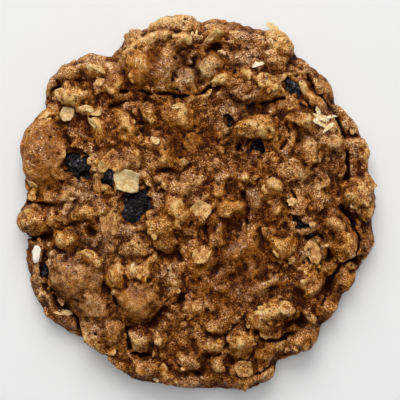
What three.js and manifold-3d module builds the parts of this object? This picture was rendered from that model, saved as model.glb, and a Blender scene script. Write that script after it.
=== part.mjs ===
// A large, chewy oatmeal raisin cookie: a lumpy baked dough disc with a ragged rim, folds and
// cracks, plump raisins set in it and broad rolled-oat flakes stuck to its crust.
// Millimetres, +Z up. The origin is at the middle of the flat underside.
import * as THREE from 'three';
import { mergeVertices } from 'three/addons/utils/BufferGeometryUtils.js';
import Module from 'manifold-3d';

const wasm = await Module();
wasm.setup();

// ---- driving dimensions -------------------------------------------------------------------

const RIM_SCALE = 1; // 1 gives a cookie about 90 mm across
const CROWN_HEIGHT = 10.4; // dough under the mounds, in the middle
const SHOULDER_HEIGHT = 7.2; // dough just inside the rim
const RIM_HEIGHT = 4.8; // top of the thin outer lip
const LIP_WIDTH = 3.2; // how far in the lip rises to the shoulder
const SHOULDER_WIDTH = 26; // how far in the shoulder rises to the crown
const RIM_ROUND = 1.1; // the lip's top edge lies this far inside the outline
const FOOT_INSET = 1.3; // the underside's edge lies this far inside the outline
const RINGS = 25; // rings of facets from the middle to the rim
const RIPPLE = 0.35; // height of the small waves all over the crust
const GAP = 0.35; // air round each raisin and flake, so that no two solids touch
const PUCKER = 0.06; // depth of a raisin's folds, as a share of its size

const DOUGH = new THREE.MeshStandardMaterial({ color: 0x9a6230, roughness: 0.72, metalness: 0 });
const RAISIN = new THREE.MeshStandardMaterial({ color: 0x1c1214, roughness: 0.42, metalness: 0 });
const OAT = new THREE.MeshStandardMaterial({ color: 0xd8b077, roughness: 0.66, metalness: 0 });

// The outline's crests and nicks, as [degrees from +X, radius], joined by a smooth closed curve.
const RIM = [
  [0, 44.8], [5, 44.4], [12, 42.8], [18, 44.3], [27, 43.8], [36, 42.9], [45, 44.9], [57, 44.8],
  [64, 47.2], [72, 46.6], [84, 47.0], [89, 46.0], [97, 47.6], [108, 45.8], [112, 46.6],
  [120, 43.1], [127, 46.7], [138, 48.3], [147, 46.0], [160, 46.4], [176, 43.2], [185, 45.3],
  [192, 44.1], [200, 46.0], [214, 47.6], [226, 45.6], [233, 43.9], [240, 44.5], [250, 46.9],
  [257, 46.0], [272, 46.5], [279, 47.0], [286, 48.5], [292, 47.3], [298, 44.4], [307, 45.3],
  [317, 43.4], [329, 43.0], [347, 44.6], [355, 44.0],
];

// Mounds of dough: where each is, its half length and half width, which way its length runs
// (degrees from +X) and how far it rises over the crown.
const MOUNDS = [
  { at: [-11, 36], half: [17, 8.5], turn: -3, rise: 3.6 }, // the thick fold along the far edge
  { at: [-17, 30], half: [7, 4.5], turn: -20, rise: 1.6 },
  { at: [1, 31], half: [9, 5], turn: 16, rise: 2.4 },
  { at: [-33, 32], half: [8, 3.6], turn: 36, rise: 3.0 },
  { at: [-29.5, 25], half: [7.5, 4.6], turn: 8, rise: 2.6 },
  { at: [-39, 13], half: [5.6, 11], turn: -8, rise: 2.2 },
  { at: [-41, -4], half: [4.5, 4.5], turn: 0, rise: 1.6 },
  { at: [-18, 19], half: [3, 4.4], turn: -10, rise: 1.8 },
  { at: [-18.5, 11], half: [7, 4], turn: 8, rise: 1.7 },
  { at: [-8, 21], half: [7, 4.5], turn: -12, rise: 1.8 },
  { at: [19, 38], half: [7, 5.5], turn: -24, rise: 2.0 },
  { at: [16, 29.5], half: [6.5, 4.6], turn: -14, rise: 2.4 },
  { at: [13.6, 19], half: [5.2, 3.8], turn: 16, rise: 2.7 },
  { at: [29, 24], half: [7, 4.5], turn: -50, rise: 1.9 },
  { at: [29.5, 12], half: [6, 4.2], turn: -8, rise: 2.0 },
  { at: [40.2, -0.5], half: [4.2, 5.8], turn: 0, rise: 2.6 },
  { at: [17.4, 2.5], half: [4, 4.6], turn: -20, rise: 2.8 },
  { at: [7.4, -1], half: [3.4, 4.2], turn: -30, rise: 1.8 },
  { at: [-4.5, -3], half: [4.6, 5.2], turn: 30, rise: 2.2 },
  { at: [-26, -2], half: [6, 4], turn: 10, rise: 1.0 },
  { at: [-32.6, -9.2], half: [3.6, 3.3], turn: 0, rise: 1.6 },
  { at: [-29, -18.5], half: [7.5, 6.4], turn: 20, rise: 2.1 },
  { at: [-22, -16.5], half: [3, 3.2], turn: 0, rise: 1.6 },
  { at: [-14, -16], half: [4.6, 3.4], turn: 8, rise: 1.6 },
  { at: [-15, -23.5], half: [7, 5.4], turn: -8, rise: 2.2 },
  { at: [-23, -31], half: [4.6, 7], turn: 18, rise: 2.4 },
  { at: [-13, -38], half: [6, 4], turn: -20, rise: 1.4 },
  { at: [-2, -38.6], half: [4, 3.6], turn: 0, rise: 1.9 },
  { at: [2.4, -33.6], half: [4.4, 2.6], turn: 16, rise: 1.7 },
  { at: [16, -29], half: [7.5, 5], turn: 30, rise: 2.9 },
  { at: [9.5, -36], half: [3.4, 6], turn: -32, rise: 1.9 },
  { at: [19.6, -11.5], half: [4.6, 4], turn: 0, rise: 1.8 },
  { at: [28, -12], half: [3.6, 4.6], turn: 12, rise: 2.0 },
  { at: [36.4, -9.4], half: [4.6, 5.4], turn: -24, rise: 2.2 },
  { at: [28, -21], half: [5, 5.4], turn: -10, rise: 1.2 },
  { at: [34, -26], half: [3.4, 5.4], turn: -38, rise: 1.2 },
];

// Cracks and the shaded steps under the folds: the line that each follows, how wide it gapes
// and how deep it goes.
const CRACKS = [
  { line: [[-28, 27.5], [-18, 27.6], [-9, 27], [-2, 26.4], [5, 28.6], [9, 31]], wide: 2.3, deep: 3.6 },
  { line: [[-38.4, 25], [-35, 28], [-31, 30.6], [-27, 30]], wide: 2.2, deep: 3.4 },
  { line: [[23, 35], [24.8, 31], [26, 26], [28, 24]], wide: 2.3, deep: 2.6 },
  { line: [[28, 31], [32, 26], [35, 22], [36.4, 17]], wide: 2.1, deep: 2.8 },
  { line: [[37.2, 12.5], [37.6, 6.8]], wide: 2.8, deep: 4.4 },
  { line: [[38.6, -5.5], [38, -12], [35, -17], [33, -21], [29.6, -26], [28.6, -30]], wide: 2.4, deep: 3.2 },
  { line: [[24, -29], [29, -30.2], [31, -31.6]], wide: 2.2, deep: 2.8 },
  {
    line: [[-43, -8.6], [-38.6, -8.8], [-38, -15], [-38, -21], [-36.4, -25.6], [-31, -26.4], [-29, -30]],
    wide: 2.3,
    deep: 3.4,
  },
  { line: [[-21.4, -21], [-20.4, -26.6], [-17.6, -30], [-17.6, -36.6], [-13, -38.8]], wide: 2.1, deep: 3.0 },
  { line: [[-7, -39], [-3, -42], [2, -41.6]], wide: 2.0, deep: 2.0 },
  { line: [[10.6, -28.6], [7.4, -32.4], [4.6, -37], [2, -41.6]], wide: 2.1, deep: 2.6 },
  { line: [[9, -41.8], [13, -43], [18, -41]], wide: 2.0, deep: 2.0 },
  { line: [[16, -33.6], [21, -32.6], [24, -33]], wide: 2.1, deep: 2.4 },
];

// Raisins: where each is, its half length, width and height, which way its length runs, and how
// far its middle lies under the dough's face.
const RAISINS = [
  { at: [-29.6, 9.4], half: [5.4, 4.1, 3.2], turn: 125, sunk: 1.5 },
  { at: [-15.4, -0.4], half: [4.9, 3.6, 3.2], turn: 24, sunk: 1.2 },
  { at: [-21.8, 6.2], half: [2.9, 2.4, 2.4], turn: 60, sunk: 1.0 },
  { at: [23.8, 29.6], half: [5.4, 3.2, 3.2], turn: 108, sunk: 1.0 },
  { at: [14.6, 14.4], half: [4.8, 3.0, 2.9], turn: 12, sunk: 1.0 },
  { at: [7.6, 20.6], half: [4.4, 3.6, 2.9], turn: 70, sunk: 1.3 },
  { at: [24.8, -4.8], half: [4.6, 3.4, 3.0], turn: -35, sunk: 1.0 },
  { at: [-37.4, -16.6], half: [4.6, 2.6, 2.6], turn: 94, sunk: -0.4 },
];

// Rolled-oat flakes that lie bare on the crust: where each is, its half length and half width,
// which way it runs, how far it tips up about its own length and width, and its lift.
const FLAKES = [
  { at: [0.4, -1], half: [3.1, 2.5], turn: 40, tip: [6, -4], lift: 0.9 },
  { at: [0.6, -11.8], half: [3.0, 2.5], turn: 50, tip: [-4, 6], lift: 0.6 },
  { at: [27.8, -11.8], half: [3.8, 2.8], turn: 112, tip: [8, 4], lift: 0.6 },
  { at: [19.4, 43.4], half: [3.3, 2.5], turn: -30, tip: [-14, 8], lift: -1.6 },
  { at: [-16.8, 6.2], half: [3.8, 2.2], turn: -48, tip: [10, 6], lift: 1.6 },
  { at: [-22.4, -4.8], half: [3.9, 2.4], turn: 96, tip: [6, -6], lift: 0.5 },
  { at: [11.6, -40.2], half: [2.8, 2.2], turn: -12, tip: [6, 0], lift: 0.6 },
  { at: [-32.6, 22.6], half: [2.2, 1.8], turn: 60, tip: [10, 8], lift: 0.7 },
  { at: [30.4, 20.6], half: [3.6, 1.9], turn: -24, tip: [16, 8], lift: 0.6 },
];
const FLAKE_THICKNESS = 0.9;
const FLAKE_CUP = 0.25; // how far its long edges curl up
const FLAKE_SIDES = 14;

// ---- the dough's form ---------------------------------------------------------------------

const rad = THREE.MathUtils.degToRad;
const smooth = (t) => THREE.MathUtils.smoothstep(t, 0, 1);

const rimCurve = new THREE.CatmullRomCurve3(
  RIM.map(([degrees, radius]) => new THREE.Vector3(
    RIM_SCALE * radius * Math.cos(rad(degrees)),
    RIM_SCALE * radius * Math.sin(rad(degrees)),
    0,
  )),
  true,
  'centripetal',
);

// The outline's radius at any angle, read off the curve by its own angle.
const RIM_SAMPLES = 1440;
const rimTable = rimCurve.getPoints(RIM_SAMPLES).slice(0, RIM_SAMPLES).map((p) => ({
  angle: (Math.atan2(p.y, p.x) + 2 * Math.PI) % (2 * Math.PI),
  radius: Math.hypot(p.x, p.y),
})).sort((a, b) => a.angle - b.angle);

function rimRadius(angle) {
  const turn = (angle + 4 * Math.PI) % (2 * Math.PI);
  const n = rimTable.length;
  let low = 0;
  let high = n;
  while (low < high) {
    const middle = (low + high) >> 1;
    if (rimTable[middle].angle < turn) low = middle + 1;
    else high = middle;
  }
  const after = rimTable[low % n];
  const before = rimTable[(low + n - 1) % n];
  const span = (after.angle - before.angle + 2 * Math.PI) % (2 * Math.PI) || 1;
  const share = ((turn - before.angle + 2 * Math.PI) % (2 * Math.PI)) / span;
  return THREE.MathUtils.lerp(before.radius, after.radius, share);
}

// 1 in the middle of an oval, falling steeply to 0 at its edge.
function mound(x, y, { at, half, turn }) {
  const c = Math.cos(rad(turn));
  const s = Math.sin(rad(turn));
  const dx = x - at[0];
  const dy = y - at[1];
  const u = (c * dx + s * dy) / half[0];
  const v = (c * dy - s * dx) / half[1];
  return Math.pow(Math.max(0, 1 - u * u - v * v), 0.7);
}

function distanceToLine(x, y, line) {
  let least = Infinity;
  for (let i = 1; i < line.length; i++) {
    const [ax, ay] = line[i - 1];
    const [bx, by] = line[i];
    const wide = bx - ax;
    const tall = by - ay;
    const share = THREE.MathUtils.clamp(
      ((x - ax) * wide + (y - ay) * tall) / (wide * wide + tall * tall), 0, 1);
    least = Math.min(least, Math.hypot(x - ax - share * wide, y - ay - share * tall));
  }
  return least;
}

// The crust's height over the underside.
function heightAt(x, y) {
  const inward = rimRadius(Math.atan2(y, x)) - Math.hypot(x, y);
  let height = RIM_HEIGHT
    + (SHOULDER_HEIGHT - RIM_HEIGHT) * smooth(inward / LIP_WIDTH)
    + (CROWN_HEIGHT - SHOULDER_HEIGHT) * smooth(inward / SHOULDER_WIDTH);
  const onLip = smooth(inward / LIP_WIDTH); // mounds and cracks fade out over the lip
  const rises = MOUNDS.map((m) => m.rise * mound(x, y, m));
  height += (0.35 + 0.65 * onLip) * Math.hypot(...rises);
  height += RIPPLE * Math.sin(0.9 * x + 0.4 * y) * Math.cos(0.7 * y - 0.3 * x);
  for (const crack of CRACKS) {
    const away = distanceToLine(x, y, crack.line) / crack.wide;
    height -= (0.25 + 0.75 * onLip) * crack.deep * Math.exp(-away * away);
  }
  return Math.max(height, 0.55 * RIM_HEIGHT);
}

// ---- solids -------------------------------------------------------------------------------

function toSolid(geometry) {
  const bare = geometry.clone();
  for (const name of Object.keys(bare.attributes)) if (name !== 'position') bare.deleteAttribute(name);
  const merged = mergeVertices(bare, 1e-3);
  return new wasm.Manifold(new wasm.Mesh({
    numProp: 3,
    vertProperties: merged.attributes.position.array,
    triVerts: new Uint32Array(merged.index.array),
  }));
}

function toGeometry(solid) {
  const { vertProperties, triVerts } = solid.getMesh();
  const geometry = new THREE.BufferGeometry();
  geometry.setAttribute('position', new THREE.BufferAttribute(vertProperties, 3));
  geometry.setIndex(new THREE.BufferAttribute(triVerts, 1));
  return geometry;
}

// Down the side and in under the foot: how far inside the outline, and at what share of the
// lip's height, each ring lies.
const SIDE = [
  { inset: 0.2, share: 0.72 },
  { inset: 0.1, share: 0.32 },
  { inset: FOOT_INSET, share: 0 },
];

// Ring r holds 6 r points, so that all the crust's facets have much the same size.
function doughGeometry() {
  const points = [];
  const faces = [];
  const firstOf = (ring) => (ring === 0 ? 0 : 1 + 3 * ring * (ring - 1));
  for (let ring = 0; ring <= RINGS; ring++) {
    for (let i = 0; i < Math.max(1, 6 * ring); i++) {
      const angle = (Math.PI / 3) * (i / Math.max(1, ring));
      const radius = (ring / RINGS) * (rimRadius(angle) - RIM_ROUND);
      const x = radius * Math.cos(angle);
      const y = radius * Math.sin(angle);
      points.push(x, y, heightAt(x, y));
    }
    for (let i = 0; i < 6 * ring; i++) {
      const sector = Math.floor(i / ring);
      const outer = firstOf(ring) + i;
      const outerNext = firstOf(ring) + ((i + 1) % (6 * ring));
      const inner = firstOf(ring - 1) + ((i - sector) % Math.max(1, 6 * (ring - 1)));
      faces.push(outer, outerNext, inner);
      if (i % ring < ring - 1) {
        const innerNext = firstOf(ring - 1) + ((i - sector + 1) % (6 * (ring - 1)));
        faces.push(outerNext, innerNext, inner);
      }
    }
  }
  const around = 6 * RINGS;
  SIDE.forEach(({ inset, share }, level) => {
    for (let i = 0; i < around; i++) {
      const angle = (2 * Math.PI * i) / around;
      const radius = rimRadius(angle) - inset;
      const lip = points[3 * (firstOf(RINGS) + i) + 2];
      points.push(radius * Math.cos(angle), radius * Math.sin(angle), lip * share);
      const above = firstOf(RINGS) + level * around;
      const next = (i + 1) % around;
      faces.push(above + i, above + around + i, above + next);
      faces.push(above + next, above + around + i, above + around + next);
    }
  });
  const foot = firstOf(RINGS) + SIDE.length * around;
  const middleOfFoot = points.length / 3;
  points.push(0, 0, 0);
  for (let i = 0; i < around; i++) faces.push(foot + i, middleOfFoot, foot + ((i + 1) % around));
  const geometry = new THREE.BufferGeometry();
  geometry.setAttribute('position', new THREE.Float32BufferAttribute(points, 3));
  geometry.setIndex(faces);
  return geometry;
}

// A plump oval, puckered by shallow folds along its length.
function raisinGeometry(half, extra) {
  const geometry = new THREE.IcosahedronGeometry(1, 2);
  const places = geometry.attributes.position;
  for (let i = 0; i < places.count; i++) {
    const p = new THREE.Vector3().fromBufferAttribute(places, i).normalize();
    const pucker = PUCKER * Math.cos(5 * Math.atan2(p.z, p.y) + 2 * p.x) * (1 - p.x * p.x);
    p.multiplyScalar(1 + pucker);
    places.setXYZ(i, p.x * (half[0] + extra), p.y * (half[1] + extra), p.z * (half[2] + extra));
  }
  return geometry;
}

// A pressed groat: a thin oval plate that cups a little along its crease.
function flakeGeometry(half, extra) {
  const section = [[0, -1], [0.8, -1], [1, 0], [0.8, 1], [0, 1]]
    .map(([out, up]) => new THREE.Vector2(out, up));
  const geometry = new THREE.LatheGeometry(section, FLAKE_SIDES).rotateX(Math.PI / 2);
  geometry.scale(half[0] + extra, half[1] + extra, FLAKE_THICKNESS / 2 + extra);
  const places = geometry.attributes.position;
  for (let i = 0; i < places.count; i++) {
    const across = places.getY(i) / (half[1] + extra);
    places.setZ(i, places.getZ(i) + FLAKE_CUP * across * across);
  }
  return geometry;
}

// ---- assembly -----------------------------------------------------------------------------

const cookie = new THREE.Group();
let dough = toSolid(doughGeometry());

// Adds one piece to the cookie and cuts its seat, a little larger, out of the dough.
function set(name, makeGeometry, material, place) {
  const piece = new THREE.Mesh(makeGeometry(0), material);
  piece.name = name;
  place(piece);
  piece.updateMatrix();
  dough = dough.subtract(toSolid(makeGeometry(GAP).applyMatrix4(piece.matrix)));
  cookie.add(piece);
  return piece;
}

RAISINS.forEach(({ at, half, turn, sunk }, i) => {
  set(`raisin_${i + 1}`, (extra) => raisinGeometry(half, extra), RAISIN, (piece) => {
    piece.position.set(at[0], at[1], heightAt(...at) - sunk);
    piece.rotation.set(0, 0, rad(turn));
  });
});

FLAKES.forEach(({ at, half, turn, tip, lift }, i) => {
  set(`oat_flake_${i + 1}`, (extra) => flakeGeometry(half, extra), OAT, (piece) => {
    piece.position.set(at[0], at[1], heightAt(...at) + lift);
    piece.rotation.set(rad(tip[0]), rad(tip[1]), rad(turn), 'ZYX');
  });
});

const doughMesh = new THREE.Mesh(toGeometry(dough), DOUGH);
doughMesh.name = 'cookie_dough';
cookie.add(doughMesh);

// The middle of the outline's box goes over the origin.
const box = new THREE.Box3().setFromObject(cookie);
const middle = box.getCenter(new THREE.Vector3());
cookie.position.set(-middle.x, -middle.y, 0);

export default cookie;
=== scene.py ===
import math

import bmesh
import bpy
import numpy as np
import openvdb
from mathutils import Euler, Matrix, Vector, noise


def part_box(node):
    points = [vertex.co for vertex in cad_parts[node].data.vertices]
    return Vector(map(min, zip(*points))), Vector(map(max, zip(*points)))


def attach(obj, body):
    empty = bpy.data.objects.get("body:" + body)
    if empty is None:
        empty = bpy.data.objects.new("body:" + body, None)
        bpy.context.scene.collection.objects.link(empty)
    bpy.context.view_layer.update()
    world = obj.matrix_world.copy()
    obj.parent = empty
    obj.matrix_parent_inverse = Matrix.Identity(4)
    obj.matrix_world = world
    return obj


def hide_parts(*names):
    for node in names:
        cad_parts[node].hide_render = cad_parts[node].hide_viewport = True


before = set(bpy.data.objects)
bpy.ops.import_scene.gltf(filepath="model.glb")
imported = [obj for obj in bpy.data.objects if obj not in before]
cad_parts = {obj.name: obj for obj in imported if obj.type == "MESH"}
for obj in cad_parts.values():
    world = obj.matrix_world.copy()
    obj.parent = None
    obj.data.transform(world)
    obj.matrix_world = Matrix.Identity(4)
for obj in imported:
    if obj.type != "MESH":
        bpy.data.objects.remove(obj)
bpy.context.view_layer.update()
mm = 0.001  # every size below is in millimetres, and meshes are scaled by this at the end
print("frame loaded")


# the dough: outline, dome and how rough its face is

dough = {
    "voxel": 0.32, "triangles": 198000,
    "rim": [  # [degrees, radius] of each crest and nick of the outline
        [0, 44.8], [5, 44.4], [12, 42.8], [18, 44.3], [27, 43.8], [36, 42.9], [45, 44.9], [57, 44.8],
        [64, 47.2], [72, 46.6], [84, 47.0], [89, 46.0], [97, 47.6], [108, 45.8], [112, 46.6],
        [120, 43.1], [127, 46.7], [138, 48.3], [147, 46.0], [160, 46.4], [176, 43.2], [185, 45.3],
        [192, 44.1], [200, 46.0], [214, 47.6], [226, 45.6], [233, 43.9], [240, 44.5], [250, 46.9],
        [257, 46.0], [272, 46.5], [279, 47.0], [286, 48.5], [292, 47.3], [298, 44.4], [307, 45.3],
        [317, 43.4], [329, 43.0], [347, 44.6], [355, 44.0]],
    "crown": 9.2, "shoulder": 6.6, "lip": 4.2,  # heights at the middle, near the rim and at it
    "lipWidth": 3.6, "shoulderWidth": 24.0,
    "footInset": 1.3, "lipRound": 1.6, "overhang": 0.35,
    "warp": 0.85,                       # how far the lumps' outlines wander
    "bumps": {3.0: 0.3, 1.5: 0.19, 0.8: 0.18},  # width of each layer of the uneven face: height
    "knobs": {3.4: 0.12, 1.7: 0.08},    # the same for the rounded crumbs the crust breaks into
    "lumpRise": 1.75, "facets": 5,      # facets: flat breaks on each rough lump
    "randomLumps": 90,                  # small lumps between the named ones
    "buriedOats": 36, "crumbs": 600, "pits": 120,  # tries for each; some fall where none belongs
}

# broad swells and dips under the lumps: x, y, half length, half width, turn, rise
swells = [
    [-11, 37, 18, 9, -3, 2.6], [-33, 31, 9, 4.5, 36, 1.4], [-39, 13, 6, 11, -8, 0.8],
    [17, 32, 12, 9, -30, 1.2], [14, 18, 8, 5, 10, 1.2], [17, 3, 6, 6, 0, 1.2],
    [-5, -3, 6, 7, 20, 1.2], [-18, 12, 10, 8, 0, 0.8], [-28, -18, 10, 8, 20, 1],
    [-14, -21, 9, 8, 0, 1], [-23, -31, 6, 8, 20, 0.8], [16, -29, 9, 6, 30, 1.3],
    [37, -8, 6, 8, -10, 1], [29, 20, 9, 7, -40, 0.8], [40, 2, 5, 6, 0, 1],
    # dips
    [12.5, 25.5, 6, 3.5, -5, -1.3], [28, -8.5, 5, 3, -20, -1.3], [40, -9.5, 7, 2.5, 85, -1.4],
    [32, -22, 8, 3, 67, -1.4], [-36.5, -18, 7, 2.6, 105, -1.5], [-32.5, -28, 6, 2.5, 125, -1.3],
    [25, -29.5, 5, 3, -30, -1.4], [-2, 36.3, 4, 3, 0, -1.5], [-22.5, -22, 7, 2.2, 110, -1.2],
    [-1, 15.5, 7, 4, 10, -0.8], [9, -15, 7, 4, 20, -0.8],
]

# lumps: x, y, half length, half width, turn, rise over the dough, tone (0 plain, 1 pale gold)
lumps = [
    # far fold
    [-20.4, 30, 3.9, 2.5, 100, 1.6, 0.5], [-14.4, 33.3, 4.6, 3.3, 95, 1.6, 0.6],
    [-8.1, 32, 5.2, 3.2, 85, 1.3, 0.15], [-3.6, 30, 3.4, 2.2, 80, 1.1, 0],
    [-6.4, 44, 6.2, 2.6, 5, 1, 0.2], [-15.9, 41.2, 3, 1.8, 60, 0.8, 0],
    [-13, 39.5, 3.6, 1.5, 25, 1.1, 0.5], [-8.6, 41.4, 2.4, 1.5, 30, 0.9, 0.35],
    [-4.4, 40.5, 2.8, 1.7, 60, 1.2, 0.3], [2.6, 33.7, 3.8, 3, 20, 1.6, 0.25],
    [5.1, 30.7, 2.5, 1.3, 30, 1.3, 0.7], [3.4, 40.6, 3.8, 1.1, 42, 1.4, 0.8],
    [10, 41, 3, 2, 0, 0.8, 0.1], [-0.5, 37.4, 2, 1.3, 40, 0.9, 0.2],
    # left shoulder, far side
    [-25.9, 36.2, 3.5, 2, 5, 1.2, 0.1], [-31, 33, 4.4, 2.2, 30, 1.6, 0.2],
    [-36.2, 28.8, 3.6, 2, 55, 1.4, 0], [-25.6, 32.8, 2.8, 1.5, -25, 1, 0.4],
    [-24, 30, 1.4, 1.2, 0, 0.9, 0.3], [-30.1, 27, 5.4, 2.8, -8, 1.8, 0.4],
    [-34.4, 23, 2.6, 1.3, 80, 0.9, 0.5], [-26.9, 22.7, 2.8, 1.1, -8, 0.9, 0.7],
    [-24.4, 18.2, 3.5, 2.3, -40, 1.3, 0.6], [-37.6, 22.2, 2.4, 1.1, 45, 0.8, 0.8],
    # left mound
    [-38.1, 12, 8.6, 5.2, 95, 1.9, 0.35], [-39.9, 8.2, 3.5, 3, 0, 1.9, 0.5],
    [-36.9, 17, 3.4, 3, 0, 1.7, 0.4], [-35.6, 10.7, 4, 2.6, 80, 2.1, 0.5],
    [-41, 4.7, 2.4, 1.6, 20, 1.1, 0.7],
    # between the left mound and the middle
    [-18.1, 18.7, 3.8, 2.5, 100, 1.8, 0.85], [-12.1, 21.2, 3.2, 2.2, 100, 1.5, 0.7],
    [-7.1, 24, 2.6, 1.3, 5, 1, 0.8], [-4.4, 21.2, 4.6, 3.2, -15, 1.5, 0.7],
    [-10.6, 15.7, 1.7, 1.3, -15, 1.2, 1], [-18.6, 11.2, 5.4, 3.2, 22, 1.7, 0.4],
    [-7.6, 11.7, 2.2, 1.3, 80, 1.3, 0.6], [-4.4, 10, 1.9, 1.2, -20, 0.9, 0.4],
    [-4.9, 3.7, 4, 2.6, 20, 1.2, 0.45], [-8.1, 5.8, 2.2, 1.6, 0, 0.9, 0.4],
    [-1.9, 5.8, 3.2, 2, 10, 0.9, 0.35],
    # left edge and below it
    [-32.4, 2, 2.3, 2, 30, 1.1, 0.4], [-37.1, 1.8, 1.8, 1.5, 0, 1, 0.4],
    [-41.6, -4, 3, 3, 0, 1.4, 0.2], [-38.9, -5, 2.2, 1.8, 70, 1.5, 0.6],
    [-36.4, -3.5, 2.4, 1.4, 90, 1, 0.3], [-32.1, -2.2, 2.2, 1.9, 80, 1.2, 0.25],
    [-27.4, -2.2, 3.2, 2, 5, 1.4, 0.65], [-32.4, -9.2, 3, 2.6, -20, 1.8, 0.8],
    [-30.4, -18, 6.4, 5, -15, 2, 0.35], [-26.9, -15, 2.4, 2.2, 0, 2.1, 0.65],
    [-25.6, -24.2, 4.4, 3.4, -50, 1.5, 0.3], [-22.9, -26, 2.4, 1.9, -70, 1.3, 0.5],
    [-25.1, -33, 4, 3, -50, 1.4, 0.3], [-20.6, -31.8, 2.8, 2.6, 70, 1.6, 0.45],
    [-20.4, -17.2, 3, 2.2, 95, 1.5, 0.85], [-14.1, -16.2, 3.7, 2.6, 5, 1.6, 0.4],
    [-14.4, -23.5, 5.4, 4.6, -5, 2, 0.45], [-9.1, -5.5, 3.6, 3.4, 40, 1.8, 0.45],
    [-8.1, -9.2, 3, 2.2, 0, 1, 0.25], [-15.9, -10.2, 3.4, 2.4, 15, 1.2, 0.35],
    # middle
    [-4.9, -2.2, 4.2, 2.8, -60, 2, 0.75], [-1.4, -11.8, 3, 2.4, 90, 0.9, 0.5],
    [-6.6, -20, 3, 2.2, 80, 1.3, 0.4], [-5.9, -27.8, 2, 1.5, 0, 0.9, 0.4],
    [-1.9, -25.5, 2.8, 1.6, 10, 0.9, 0.45], [5.4, 3.2, 1.8, 1.5, -10, 1.3, 0.7],
    [7.9, -1.2, 3.2, 2.8, -30, 1.9, 0.75], [11.1, 6.7, 2.2, 1.5, -5, 1.5, 0.8],
    [14.2, 6.5, 0.8, 0.7, 0, 0.9, 0.8], [17.4, 3, 3.2, 3, 0, 2.1, 0.8],
    [21.1, 8.2, 3.6, 2, -20, 1.1, 0.35], [19.1, -2.2, 2.2, 2, 60, 1.3, 0.6],
    [5.4, -7, 2.2, 1.6, 70, 1.2, 0.45], [10.6, -10.5, 4.4, 3, 15, 1.1, 0.35],
    [13.1, -7.2, 2.4, 1.8, 60, 1.1, 0.4], [4.4, -18, 6, 1.4, 35, 0.5, -0.05],
    [12, -22, 7, 1.6, 28, 0.5, -0.05], [19.9, -10.7, 3.4, 3, -20, 1.7, 0.65],
    [8.1, 22.7, 3.4, 2.6, 15, 1, -0.1], [13.9, 18.5, 4.6, 3.2, 12, 2.1, 0.65],
    [17.9, 18.7, 1.8, 1.1, 80, 1.6, 0.85],
    # far right
    [12.6, 35.7, 4, 2, 0, 0.7, -0.1], [12.9, 31.7, 2.9, 1.7, -10, 1.2, 0.65],
    [17.9, 29, 3.4, 2.5, -20, 1.5, 0.45], [14.4, 27.4, 5, 2.4, -5, 1.2, 0.2],
    [20.4, 39.2, 4, 3.6, -40, 1.7, 0.4], [18.6, 35.7, 2.6, 2.2, 0, 1, 0.3],
    [25.1, 28.7, 1.8, 1.5, -40, 1.4, 0.75], [27.1, 26.2, 1.8, 1.5, -50, 1.4, 0.7],
    [30.4, 29.7, 2, 1.9, 0, 1.6, 0.5], [32.9, 28, 1.9, 1.7, -60, 1.4, 0.45],
    [29.9, 24.7, 2, 1.6, -50, 1, 0.4], [25.6, 34.2, 3, 1.6, -40, 0.8, -0.1],
    [25.6, 20.7, 4, 2.2, -20, 1.4, 0.5], [28.1, 12.5, 3.8, 3, 10, 1.5, 0.35],
    [33.4, 14.5, 2.6, 1.6, 15, 1.3, 0.4], [24.9, 9.5, 3, 2.2, -30, 1, 0.3],
    # right edge
    [37.4, 21.2, 4.4, 1.9, -50, 1.4, 0.2], [40.1, 13.2, 4.6, 2.2, -72, 1.6, 0.25],
    [40.6, 7.7, 2.6, 2, 80, 1.3, 0.3], [40.6, 3.2, 3.6, 3.2, 30, 1.6, 0.5],
    [41.6, -1.2, 2.8, 2.3, 90, 1.4, 0.55], [38.6, 1.7, 2.4, 2, 0, 1.2, 0.5],
    [28.1, -5, 1.6, 1.1, 25, 1, 0.3], [33.6, -4.2, 2.8, 1.9, -20, 1.5, 0.4],
    [36.6, -9.2, 3.8, 3.2, -55, 2, 0.45], [41.9, -9.2, 5.6, 1.9, -78, 1.1, 0.15],
    [27.4, -19.2, 4, 3, -60, 1.4, 0.4], [25.6, -16.2, 2.4, 1.8, 0, 1.1, 0.45],
    [36.2, -18.7, 3.2, 2.4, -50, 1.5, 0.5], [32.7, -26.2, 4.2, 2.6, -58, 1.5, 0.35],
    [27.6, -27.7, 2.4, 1.2, -50, 1, 0.35],
    # near edge
    [17.1, -27.2, 5.2, 3.6, 25, 2.1, 0.65], [20.6, -25.5, 2.2, 1.5, -20, 1.9, 0.85],
    [11.4, -34.2, 3.4, 2.8, 60, 1.8, 0.6], [16.6, -37.5, 2.3, 1.8, 100, 1.4, 0.6],
    [26.6, -33.7, 4, 2.6, 38, 1.5, 0.4], [16.4, -42.4, 3.2, 1.8, 20, 1.2, 0.25],
    [9.9, -44.2, 3.2, 1.8, -10, 1, 0.3], [3.4, -34.5, 3, 1.8, 10, 1.5, 0.5],
    [4.4, -30, 2.6, 1.6, -20, 1.1, 0.35], [5.4, -39.5, 2.8, 2.2, 40, 1.3, 0.4],
    [-1.9, -39, 3.2, 2.6, 0, 1.9, 0.25], [-14.6, -33.2, 2.8, 2.4, 90, 1.3, 0.15],
    [-9.6, -32.5, 1.9, 1.6, 0, 1.1, 0.5], [-19.1, -39.8, 3, 2, -35, 1, 0.3],
    [-12.6, -41, 3.6, 2.4, -12, 1.2, 0.4], [-8.6, -42.3, 2.6, 1.8, -5, 1, 0.3],
    [-3.6, -43.8, 4, 1.5, -4, 0.8, 0.2],
]

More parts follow.
